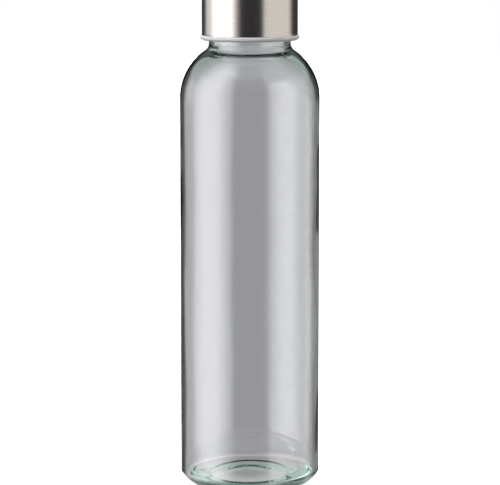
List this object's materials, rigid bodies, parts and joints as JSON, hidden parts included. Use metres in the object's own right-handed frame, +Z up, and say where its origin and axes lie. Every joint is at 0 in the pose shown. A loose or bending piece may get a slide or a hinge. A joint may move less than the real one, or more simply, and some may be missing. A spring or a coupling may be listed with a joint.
{
  "type": "glass water bottle",
  "caption": "Round clear glass water bottle with a domed shoulder, heavy base and a screw cap of brushed steel over a pale plastic threaded insert with a sealing ring.",
  "frame": {"origin": "centre of the foot ring, on the plane the bottle stands on", "axes": "+Z up along the bottle's axis, out of the mouth; the cap is closed at rest"},
  "size_m": [0.063, 0.063, 0.2333],
  "materials": {
    "glass": "clear soda-lime glass, faint green tint in the thick parts",
    "steel": "brushed round the side",
    "insert_plastic": "pale grey satin polypropylene",
    "silicone": "white silicone"
  },
  "bodies": {
    "bottle": {"glass_bottle": "glass"},
    "seal": {"gasket": "silicone"},
    "cap": {"cap_shell": "steel", "cap_insert": "insert_plastic"}
  },
  "joints": [
    {"name": "cap_rise", "type": "slide", "parent": "bottle", "child": "seal", "axis": [0, 0, 1], "range_m": [0, 0.0232]},
    {"name": "cap_unscrew", "type": "hinge", "parent": "seal", "child": "cap", "pos_m": [0, 0, 0.222], "axis": [0, 0, 1], "range_deg": [0, 1980]}
  ],
  "couplings": [
    {"joint": "cap_rise", "follows": "cap_unscrew", "m_per_rad": 0.00066845}
  ]
}
